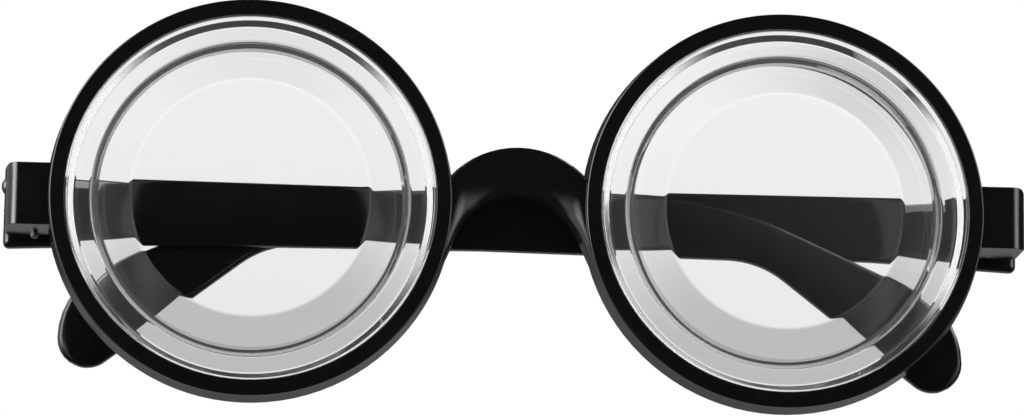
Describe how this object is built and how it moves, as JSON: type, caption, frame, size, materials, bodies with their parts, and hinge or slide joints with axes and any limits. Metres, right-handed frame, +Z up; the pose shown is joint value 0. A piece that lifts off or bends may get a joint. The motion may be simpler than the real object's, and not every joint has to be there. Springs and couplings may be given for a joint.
{
  "type": "costume glasses",
  "caption": "Black plastic costume glasses with round rims, clear stepped lenses, an arched bridge and folding temples on steel hinge pins.",
  "frame": {"origin": "middle of the whole folded part in X and Y, at the height of the rims' lowest points", "axes": "+X across the front to the viewer's right, +Y from the front to the temples, +Z up as worn"},
  "size_m": [0.1416, 0.0169, 0.0559],
  "materials": {
    "frame_plastic": "glossy",
    "lens_clear": "clear",
    "pin_steel": "satin"
  },
  "bodies": {
    "front": {"front_frame": "frame_plastic", "left_lens": "lens_clear", "right_lens": "lens_clear", "left_hinge_pin": "pin_steel", "right_hinge_pin": "pin_steel"},
    "temple_left": {"left_temple": "frame_plastic"},
    "temple_right": {"right_temple": "frame_plastic"}
  },
  "joints": [
    {"name": "left_temple_fold", "type": "hinge", "parent": "front", "child": "temple_left", "pos_m": [-0.06631, -0.00085, 0.02775], "axis": [0, 0, 1], "range_deg": [0, 95]},
    {"name": "right_temple_fold", "type": "hinge", "parent": "front", "child": "temple_right", "pos_m": [0.06609, -0.00085, 0.02775], "axis": [0, 0, -1], "range_deg": [0, 93]}
  ]
}
